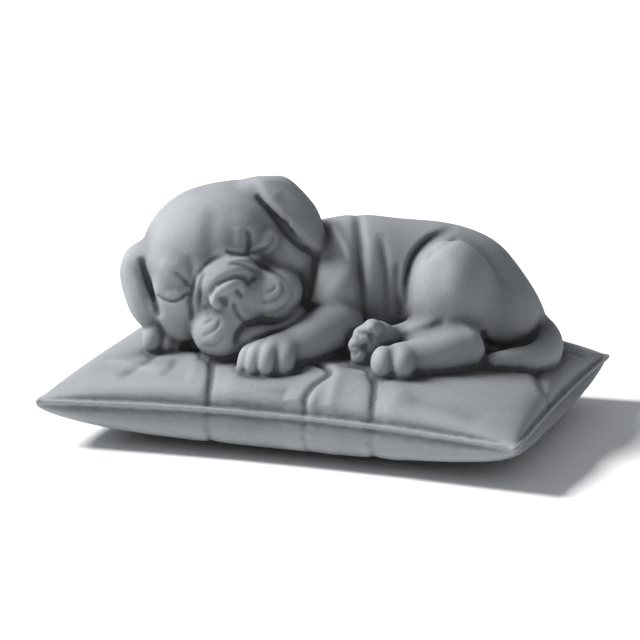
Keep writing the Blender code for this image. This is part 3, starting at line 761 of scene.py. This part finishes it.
def forelegs():
    near = [
        Limb([(4, -26, 18, 13), (-9, -37, 13, 11), (-20, -43, 9.5, 9)]),
        Ball((-28, -47, 8), (10.5, 8, 8)),
        toe(-39.5, -47.5, 7, 3.6, (5, 3)),
        toe(-35.3, -51, 8, 4, (4, 5)),
        toe(-29, -53, 8.5, 4.6, (3, 7)),
        toe(-20.7, -51.5, 8, 5.2, (2, 8)),
    ]
    far = [
        Limb([(-50, -2, 12, 12), (-74, -9, 8.5, 9)]),
        toe(-84, -16, 10.5, 5.2, (3, 5)),
        toe(-77, -18, 8.5, 3.2, (2, 6)),
        toe(-73, -18, 7, 2.8, (1, 6)),
    ]
    return near + far


def far_hind_paw():
    """It lies on its side, so the pads show."""
    paw = [
        Limb([(52, -23, 12, 11), (38, -34, 12, 9), (26, -42, 13, 8)]),
        Ball((22.5, -44, 13.5), (11, 8, 11.5), blend=3),
    ]
    pads = [(21, 22, 4.8), (16, 19, 4.2), (13.6, 14, 4), (15, 8.6, 4.2), (19.5, 5, 4.2), (23, 13.5, 5.4)]
    return paw + [Ball((x, -48, z), (radius, 4.6, radius), blend=2) for x, z, radius in pads]


def paw_folds():
    """The gaps between the far hind paw's toes, and the pads that stand out on them."""
    gaps = [
        traced([(357, 332), (365, 334), (376, 334)], 1, 1),
        traced([(350, 347), (359, 347), (369, 346)], 1, 1),
    ]
    pads = [
        traced([(367, 328), (371, 328), (376, 326)], 1.9, -0.9, 0.1),
        traced([(360, 340), (364, 340), (369, 339)], 1.9, -0.9, 0.1),
        traced([(358, 354), (362, 355), (366, 355)], 1.7, -0.8, 0.1),
    ]
    return gaps + pads


print(len(forelegs()), "lumps make the forelegs and", len(far_hind_paw()), "the far hind paw")
print(len(paw_folds()), "folds shape its toes and pads")


# %% Tail and body
def tail_masses():
    rows = [
        (93, 26, 5, 10),
        (103, 13, 3.5, 9),
        (106, -5, 3, 8.2),
        (104, -22, 3, 7.6),
        (97, -36, 4, 6.8),
        (87.5, -43, 5.5, 5.4),
        (79, -47, 6.5, 3.6),
    ]
    return [Limb(rows)]


def body_masses():
    torso = [
        Ball((6, 10, 28), (32, 30, 33)),
        Ball((34, 13, 25), (38, 31, 34), blend=20),
        Ball((59, 13, 20), (38, 31, 36.5), blend=14),
        Ball((80.5, 10, 4), (27.5, 27, 28), blend=12),
        Ball((-20, 8, 24), (30, 28, 30), blend=16),
        Ball((4, -19, 28), (13, 12, 17), blend=7),
    ]
    near_hind_leg = [
        Ball((59.5, -18.5, 28), (21.5, 25, 29.5), blend=9),
        Ball((77, -7, 14), (21.5, 20, 23), blend=14),
        Ball((47, -37, 15), (15, 12, 9), blend=6),
        Limb([(64, -45, 11.5, 10.5), (52, -52.5, 10.5, 9.5), (34, -57, 9.5, 8)], blend=7),
        Ball((26, -60, 8.5), (6, 8, 8.2), blend=2.5),
        Ball((35, -61.5, 8), (6.4, 8, 8.4), blend=2.5),
    ]
    return torso + near_hind_leg


print(len(body_masses()), "lumps make the body")


# %% [markdown]
# Loose skin
#
# A young dog's coat is a size too large. Behind the neck it gathers into upright folds, and it creases
# where the haunch leaves the flank. A bump in the material couldn't throw their shadows, so they are
# pressed into the skin. They are wide and soft, and the ridges between them matter as much as the
# valleys.

# %% Body folds
def body_folds():
    flank = [
        traced([(330, 222), (337, 232), (345, 245), (352, 262)], 2.2, -1),
        traced([(356, 210), (358, 230), (360, 250), (361, 280), (364, 322)], 2.8, 1.7),
        traced([(371, 232), (371, 262), (372, 310)], 2.8, -0.3),
        traced([(379, 232), (384, 256), (386, 290), (385, 322)], 2.3, 1, 0.45),
        traced([(398, 262), (397, 288), (399, 318)], 2, 0.6),
        traced([(340, 262), (330, 280), (312, 300)], 3.5, 0.5),
        traced([(303, 304), (316, 307), (330, 311), (338, 312)], 1.7, 1.3),
        traced([(318, 248), (315, 268), (311, 287), (305, 304)], 2.2, 1.2),
    ]
    haunch = [
        traced([(405, 318), (406, 295), (408, 275), (414, 257), (426, 243), (441, 234), (458, 228)],
               2.3, 2.1, 0.4),
        traced([(424, 262), (432, 252), (444, 245), (460, 238)], 1.5, 0.8),
        traced([(446, 256), (437, 275), (440, 298), (452, 316)], 6, 1),
        traced([(400, 337), (414, 332), (430, 327), (446, 321)], 2, 0.8),
        traced([(484, 340), (503, 346), (520, 342), (534, 332), (542, 312)], 2, 1.4),
        traced([(483, 328), (486, 340), (494, 348)], 1.8, 1.2),
    ]
    return flank + haunch


print(len(body_folds()), "folds on the body")


# %% [markdown]
# The whole figure
#
# Now the groups are put in their places: the body and legs lie on the pillow, turned a little, and the
# head is tilted over on its right cheek. Modelling them apart and placing them last would leave a hard
# line where they touch, so `figure_distance` melts them all together with the pillow where they lie.

# %% Put the groups together
# The puppy sinks this far into the pillow and is turned by this many degrees on it
LIE_DEPTH = 0.008
PUPPY_TURN = 19

# Where the point between the eyes is, in grains, and which ways the head's left and its back point
HEAD_PLACE = Vector((-52.8, -25, 46.9))
HEAD_LEFT = Vector((0.874, 0.125, 0.469))
HEAD_BACK = Vector((-0.126, 0.991, -0.031))

# How wide the fillets are from the puppy to the pillow, in metres, and between groups, in grains
CONTACT_BLEND = 0.0025
LIMB_BLEND = 2.6


def build_groups():
    lie = Matrix.Translation((0, 0, PILLOW_TOP - LIE_DEPTH))
    lie = lie @ Matrix.Rotation(math.radians(PUPPY_TURN), 4, "Z")
    here = Matrix.Identity(4)
    up = HEAD_LEFT.cross(HEAD_BACK).normalized()
    tilt = Matrix((HEAD_LEFT.normalized(), up.cross(HEAD_LEFT).normalized(), up)).transposed().to_4x4()
    head_at = Matrix.Translation(HEAD_PLACE * GRAIN) @ tilt
    return [
        Group(lie, here, (40, 10, 20), 130, body_masses(), body_folds()),
        Group(lie, here, (-20, -35, 10), 120, forelegs() + far_hind_paw(), paw_folds()),
        Group(lie, head_at, (0, 22, 0), 90, head_masses(), face_folds()),
        Group(lie, head_at, (4, 34, 0), 90, ears(), ear_folds()),
        Group(lie, here, (100, -10, 5), 75, tail_masses(), body_folds()[-1:]),
    ]


def figure_distance(figure, p):
    groups, creases = figure
    d = groups[0].distance(p)
    for group in groups[1:]:
        d = melt(d, group.distance(p), LIMB_BLEND * GRAIN)
    return melt(d, pillow_distance(p, creases), CONTACT_BLEND)


groups = build_groups()
figure = groups, creases
print(len(groups), "groups")


# %% [markdown]
# From the field to a skin
#
# A field has no faces, and Blender has no operator that turns our own field into a mesh. So we start with
# the rough spheres and draw their skin onto the field. `drawn_onto` looks at the field at four places
# round each point, finds the way in which it rises, and moves the point along it to where the field is
# zero. Two or three such steps are enough. Between them the Remesh modifier gives fresh, even quads,
# because points that have been drawn a long way bunch up.

# %% Easing and combing
def points_of(mesh):
    points = np.empty(len(mesh.vertices) * 3, np.float32)
    mesh.vertices.foreach_get("co", points)
    return points.reshape(-1, 3).astype(float)


def edges_of(mesh):
    edges = np.empty(len(mesh.edges) * 2, np.int32)
    mesh.edges.foreach_get("vertices", edges)
    return edges.reshape(-1, 2)


def eased(points, edges):
    """The points, each moved halfway to the mean of its neighbours."""
    ends, others = np.concatenate([edges, edges[:, ::-1]]).T
    count = np.maximum(np.bincount(ends, minlength=len(points)), 1)
    mean = [np.bincount(ends, column[others], len(points)) / count for column in points.T]
    return (points + np.stack(mean, axis=1)) / 2


def combed(mesh, rounds, proud):
    """Eases the points that stand further than proud from their neighbours, such as in a narrow gap."""
    points, edges = points_of(mesh), edges_of(mesh)
    for _ in range(rounds):
        target = eased(points, edges)
        loose = np.linalg.norm(target - points, axis=1) > proud / 2
        points[loose] = target[loose]
    mesh.vertices.foreach_set("co", points.astype(np.float32).ravel())
    mesh.update()


print("two points 1 apart, eased:", eased(np.array([[0.0], [1.0]]), np.array([[0, 1]])).ravel())


# %% Drawing points onto the field
# The field's slope is taken as at least this, so that a flat spot doesn't throw a point far away
LEAST_SLOPE = 0.3


def drawn_onto(figure, mesh, rounds):
    """Moves the mesh's points along the field's slope until they lie on the skin."""
    step = 0.0002
    corners = np.array([(1, 1, 1), (1, -1, -1), (-1, 1, -1), (-1, -1, 1)], float)
    points = points_of(mesh)
    for _ in range(rounds):
        values = [figure_distance(figure, points + step * corner) for corner in corners]
        slope = sum(value[:, None] * corner for value, corner in zip(values, corners)) / (4 * step)
        steep = np.maximum(np.linalg.norm(slope, axis=1), LEAST_SLOPE)
        away = np.clip(sum(values) / 4 / steep, -LONGEST_STEP, LONGEST_STEP)
        points = points - (away / steep)[:, None] * slope
    mesh.vertices.foreach_set("co", points.astype(np.float32).ravel())
    mesh.update()


in_the_back = np.array([(0, 0, PILLOW_TOP + 0.04)])
print("in the puppy's back, 4 cm above the pillow, the field is", figure_distance(figure, in_the_back))


# %% Rough mesh
rough_bm = bmesh.new()
pillow_rough(rough_bm)
for group in groups:
    group.rough(rough_bm)
rough_mesh = bpy.data.meshes.new("rough")
rough_bm.to_mesh(rough_mesh)
rough_bm.free()
casting = bpy.data.objects.new("stone_puppy", rough_mesh)
bpy.context.scene.collection.objects.link(casting)
print("the rough mesh has", len(rough_mesh.vertices), "points")


# %% Draw the skin
FIRST_VOXEL = 0.002
SKIN_VOXEL = 0.00088
# A point that stands this share of a voxel away from its neighbours' mean is combed
COMB_SHARE = 0.3


def after_modifier(obj, kind, settings):
    """The object's mesh as one modifier leaves it."""
    modifier = obj.modifiers.new(kind.lower(), kind)
    for name, value in settings.items():
        setattr(modifier, name, value)
    graph = bpy.context.evaluated_depsgraph_get()
    mesh = bpy.data.meshes.new_from_object(obj.evaluated_get(graph))
    obj.modifiers.clear()
    return mesh


for voxel, rounds in ((FIRST_VOXEL, 3), (SKIN_VOXEL, 2)):
    casting.data = after_modifier(casting, "REMESH", {"mode": "VOXEL", "voxel_size": voxel})
    drawn_onto(figure, casting.data, rounds)
    print("drawn at", voxel * 1000, "mm:", len(casting.data.vertices), "points")
combed(casting.data, 3, COMB_SHARE * SKIN_VOXEL)
drawn_onto(figure, casting.data, 1)
combed(casting.data, 4, COMB_SHARE * SKIN_VOXEL)
print("combed at", round(COMB_SHARE * SKIN_VOXEL * 1000, 2), "mm")


# %% Thin the skin and cut the foot
SKIN_TRIANGLES = 190_000


def flat_base(mesh):
    """Cuts the underside off level, so that the casting stands on a true flat."""
    bm = bmesh.new()
    bm.from_mesh(mesh)
    whole = bm.verts[:] + bm.edges[:] + bm.faces[:]
    cut = bmesh.ops.bisect_plane(
        bm, geom=whole, dist=1e-6, plane_co=(0, 0, 0), plane_no=(0, 0, 1), clear_inner=True
    )
    rim = [edge for edge in cut["geom_cut"] if isinstance(edge, bmesh.types.BMEdge)]
    bmesh.ops.contextual_create(bm, geom=rim)
    bmesh.ops.triangulate(bm, faces=bm.faces)
    bmesh.ops.recalc_face_normals(bm, faces=bm.faces)
    bm.to_mesh(mesh)
    bm.free()


casting.data.calc_loop_triangles()
share = min(1, SKIN_TRIANGLES / len(casting.data.loop_triangles))
casting.data = after_modifier(casting, "DECIMATE", {"ratio": share})
flat_base(casting.data)
casting.data.shade_smooth()
print("the skin has", len(casting.data.polygons), "triangles")


# %% [markdown]
# Hollows and ridges
#
# The stone is painted darker in its creases and hollows, as painted shade, and lighter on its ridges, as
# painted light. A material knows where the creases are only by the Geometry node's Pointiness, and only
# Cycles has that, so we measure them ourselves. A copy of the points is smoothed many times; where the true
# skin lies below the smoothed one there is a hollow, and where it stands proud there is a ridge. The result
# is kept on the mesh as an attribute.

# %% Measure the hollows
# How often each copy is smoothed, and how far off it, in metres, counts as a full hollow or ridge
FINE_ROUNDS = 12
FINE_FULL = 0.00025
BROAD_ROUNDS = 120
BROAD_FULL = 0.0014


def smoothed(values, edges, rounds):
    for _ in range(rounds):
        values = eased(values, edges)
    return values


def keep_relief(mesh, name, rounds, full):
    """Stores how far each point stands proud of the smoothed skin, 1 being as much as full."""
    points, edges = points_of(mesh), edges_of(mesh)
    normals = np.empty(len(points) * 3, np.float32)
    mesh.vertex_normals.foreach_get("vector", normals)
    proud = ((points - smoothed(points, edges, rounds)) * normals.reshape(-1, 3)).sum(axis=1) / full
    proud = np.clip(smoothed(proud[:, None], edges, 2)[:, 0], -1, 1)
    mesh.attributes.new(name, "FLOAT", "POINT").data.foreach_set("value", proud.astype(np.float32))
    return proud


fine = keep_relief(casting.data, "fine_relief", FINE_ROUNDS, FINE_FULL)
broad = keep_relief(casting.data, "broad_relief", BROAD_ROUNDS, BROAD_FULL)
for name, relief in (("fine", fine), ("broad", broad)):
    print("share of the skin in", name, "hollows:", round(float((relief < -0.5).mean()), 3))


# %% [markdown]
# Shader maths as Python
#
# A material is a graph of nodes. To keep it readable, `Signal` wraps the output of a node, and Python's
# own operators add the Math nodes, so that `1 - hollow * 0.4` is written as it is meant.

# %% Signal
class Signal:
    """One output of a node."""

    def __init__(self, tree, socket):
        self.tree, self.socket = tree, socket

    def node(self, kind, settings, inputs, output=0):
        """Adds a node with its settings, and a value or a signal for each input, by name or number."""
        made = self.tree.nodes.new(kind)
        for name, value in settings.items():
            setattr(made, name, value)
        for name, value in inputs.items():
            if isinstance(value, Signal):
                self.tree.links.new(value.socket, made.inputs[name])
            else:
                made.inputs[name].default_value = value
        return Signal(self.tree, made.outputs[output])

    def maths(self, operation, *values):
        return self.node("ShaderNodeMath", {"operation": operation}, dict(enumerate(values)))

    def __add__(self, other):
        return self.maths("ADD", self, other)

    def __sub__(self, other):
        return self.maths("SUBTRACT", self, other)

    def __rsub__(self, other):
        return self.maths("SUBTRACT", other, self)

    def __mul__(self, other):
        return self.maths("MULTIPLY", self, other)

    __radd__ = __add__
    __rmul__ = __mul__

    def between(self, low, high):
        """0 at low and 1 at high, and never beyond."""
        inputs = {"Value": self, "From Min": low, "From Max": high}
        return self.node("ShaderNodeMapRange", {"clamp": True}, inputs)

    def blend(self, dark, light):
        """From one colour to another as the signal goes from 0 to 1."""
        # A Mix node has sockets for every type of data, and those for colours are known by their numbers
        return self.node("ShaderNodeMix", {"data_type": "RGBA"}, {0: self, 6: dark, 7: light}, 2)


print("a signal can", [name for name in vars(Signal) if not name.startswith("_")])


# %% [markdown]
# Cast stone
#
# The casting is a matte blue-grey all through. Up close it has three sizes of variation: cloudy patches
# where the mix set unevenly, a fine sandy grain, and scattered pinholes left by air in the mould. An
# image of stone would bring its own seams and light, so noise in the casting's own space makes all three.
# The patches change the colour, the relief paints shade into the hollows and light onto the ridges, and the
# sand and the pinholes also go into the bump.

# %% Stone values
STONE_DARK = (0.035, 0.038, 0.042, 1)
STONE_LIGHT = (0.245, 0.256, 0.268, 1)

# How much each thing adds to the tone, which goes from the dark stone at 0 to the light one at 1
BASE_TONE = 0.62
CLOUD_TONE = 0.12
FINE_SAND_TONE = 0.25
COARSE_SAND_TONE = 0.15
# The relief terms paint shade into the hollows and light onto the ridges
FINE_RELIEF_PAINTED_LIGHT = 0.16
BROAD_RELIEF_PAINTED_LIGHT = 0.26
# Painted shade, added in the hollows only
CREASE_PAINTED_SHADE = 0.16
# Painted shade inside the pinholes
PINHOLE_PAINTED_SHADE = 0.1

# The mean roughness, how much the sand changes it, and how much a rubbed ridge loses
STONE_ROUGHNESS = 0.78
SAND_ROUGHNESS = 0.2
RUBBED_ROUGHNESS = 0.04
STONE_SPECULAR = 0.35

# The bump's height in metres, and each thing's share of it
BUMP_HEIGHT = 0.00012
BUMP_STRENGTH = 0.6
SAND_BUMP = 0.6
HOLE_BUMP = 1.6

# The noise's own values between which a cloud fades in and a patch gets its pinholes, and a pinhole's edge
CLOUD_RANGE = (0.35, 0.65)
PATCH_RANGE = (0.56, 0.66)
PINHOLE_EDGE = (0.08, 0.2)

# How many clouds, patches with holes, pinholes or grains of sand there are to a metre, roughly
CLOUDS = 22
HOLE_PATCHES = 90
PINHOLES = 260
COARSE_SAND = 380
FINE_SAND = 1100
print("a grain of the fine sand is about", round(1000 / FINE_SAND, 1), "mm")


# %% Stone material
def cast_stone():
    """A matte grey stone with painted shade in its hollows and creases and painted light on its ridges, a
    little rough with sand and pinholes.
    """
    material = bpy.data.materials.new("cast_stone")
    material.use_nodes = True
    tree = material.node_tree
    shader = tree.nodes["Principled BSDF"]
    start = Signal(tree, None)
    place = start.node("ShaderNodeTexCoord", {}, {}, "Object")

    def noise(scale, detail, roughness=0.5):
        inputs = {"Vector": place, "Scale": scale, "Detail": detail, "Roughness": roughness}
        return place.node("ShaderNodeTexNoise", {}, inputs, "Fac")

    clouds = noise(CLOUDS, 4, 0.6).between(*CLOUD_RANGE)
    fine_sand = noise(FINE_SAND, 3, 0.7)
    coarse_sand = noise(COARSE_SAND, 2)
    pinholes = place.node("ShaderNodeTexVoronoi", {}, {"Vector": place, "Scale": PINHOLES}, "Distance")
    holes = (1 - pinholes.between(*PINHOLE_EDGE)) * noise(HOLE_PATCHES, 1).between(*PATCH_RANGE)
    fine_relief = place.node("ShaderNodeAttribute", {"attribute_name": "fine_relief"}, {}, "Fac")
    broad_relief = place.node("ShaderNodeAttribute", {"attribute_name": "broad_relief"}, {}, "Fac")

    tone = BASE_TONE + clouds * CLOUD_TONE
    tone = tone + (fine_sand - 0.5) * FINE_SAND_TONE + (coarse_sand - 0.5) * COARSE_SAND_TONE
    # Painted shade and light: the hollows are darker and the ridges lighter
    painted_crease_shade = 1 - fine_relief.between(-1, 0)
    tone = tone + fine_relief * FINE_RELIEF_PAINTED_LIGHT + broad_relief * BROAD_RELIEF_PAINTED_LIGHT
    # Painted shade: the creases are darker still, and so are the pinholes
    tone = tone - painted_crease_shade * CREASE_PAINTED_SHADE - holes * PINHOLE_PAINTED_SHADE
    colour = tone.between(0, 1).blend(STONE_DARK, STONE_LIGHT)
    tree.links.new(colour.socket, shader.inputs["Base Color"])
    roughness = STONE_ROUGHNESS + (fine_sand - 0.5) * SAND_ROUGHNESS - fine_relief * RUBBED_ROUGHNESS
    tree.links.new(roughness.socket, shader.inputs["Roughness"])
    height = fine_sand * SAND_BUMP + coarse_sand * SAND_BUMP - holes * HOLE_BUMP
    inputs = {"Strength": BUMP_STRENGTH, "Distance": BUMP_HEIGHT, "Height": height}
    bump = place.node("ShaderNodeBump", {}, inputs, "Normal")
    tree.links.new(bump.socket, shader.inputs["Normal"])
    shader.inputs["Specular IOR Level"].default_value = STONE_SPECULAR
    return material


casting.data.materials.append(cast_stone())
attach(casting, "root")
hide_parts("puppy_on_pillow")
print("the stone has", len(casting.data.materials[0].node_tree.nodes), "nodes")


# %% [markdown]
# Floor and light
#
# The photograph is soft daylight from the upper left, on white. A sky alone would flatten the carving,
# and a small lamp would cut hard shadows. So one large lamp stands at the upper left, a weak one fills
# from the right so that the tail's side is darker but not black, and a pale sky does the rest.

# %% Floor
FLOOR_SIZE = 6
FLOOR_COLOUR = (0.93, 0.935, 0.94, 1)
FLOOR_ROUGHNESS = 0.9

floor_bm = bmesh.new()
bmesh.ops.create_grid(floor_bm, x_segments=1, y_segments=1, size=FLOOR_SIZE / 2)
floor_mesh = bpy.data.meshes.new("floor")
floor_bm.to_mesh(floor_mesh)
floor_bm.free()
floor = bpy.data.objects.new("floor", floor_mesh)
bpy.context.scene.collection.objects.link(floor)
paper = bpy.data.materials.new("paper")
paper.use_nodes = True
paper_shader = paper.node_tree.nodes["Principled BSDF"]
paper_shader.inputs["Base Color"].default_value = FLOOR_COLOUR
paper_shader.inputs["Roughness"].default_value = FLOOR_ROUGHNESS
floor.data.materials.append(paper)
print("the floor is", FLOOR_SIZE, "m wide")


# %% Lamps and sky
MIDDLE = Vector((0, 0, 0.06))
SKY_COLOUR = (0.93, 0.96, 1, 1)
SKY_STRENGTH = 0.31


def lamp(name, place, watts, size):
    """A square lamp that shines at the middle of the casting."""
    data = bpy.data.lights.new(name, "AREA")
    data.energy, data.size = watts, size
    made = bpy.data.objects.new(name, data)
    bpy.context.scene.collection.objects.link(made)
    made.location = place
    made.rotation_euler = (MIDDLE - Vector(place)).to_track_quat("-Z", "Y").to_euler()


lamp("window", place=(-2.5, -0.3, 2.4), watts=248, size=1.2)
lamp("fill", place=(2.1, -2.7, 1.5), watts=2, size=2)
sky = bpy.data.worlds.new("sky")
bpy.context.scene.world = sky
sky.use_nodes = True
sky.node_tree.nodes["Background"].inputs["Color"].default_value = SKY_COLOUR
sky.node_tree.nodes["Background"].inputs["Strength"].default_value = SKY_STRENGTH
bpy.context.scene.view_settings.view_transform = "Standard"


# %% [markdown]
# Camera
#
# The photograph looks as if taken with a long lens from about 1.7 m away, a little to the right of
# straight in front and looking down by 15 degrees. The distance and the lens together fix how large the
# casting stands in a square frame.

# %% Camera
CAMERA_AIM = Vector((-0.00392, 0, 0.05118))
CAMERA_TURN = math.radians(18.97)
CAMERA_TILT = math.radians(TRACE_TILT)
CAMERA_DISTANCE = 1.7278
LENS_MILLIMETRES = 200
SENSOR_MILLIMETRES = 36

lens = bpy.data.cameras.new("camera")
lens.lens, lens.sensor_width = LENS_MILLIMETRES, SENSOR_MILLIMETRES
camera = bpy.data.objects.new("camera", lens)
bpy.context.scene.collection.objects.link(camera)
away = Vector((
    math.sin(CAMERA_TURN) * math.cos(CAMERA_TILT),
    -math.cos(CAMERA_TURN) * math.cos(CAMERA_TILT),
    math.sin(CAMERA_TILT),
))
camera.location = CAMERA_AIM + away * CAMERA_DISTANCE
camera.rotation_euler = (-away).to_track_quat("-Z", "Y").to_euler()
bpy.context.scene.camera = camera
print("the camera stands at", tuple(round(value, 3) for value in camera.location))


# %% [markdown]
# The end
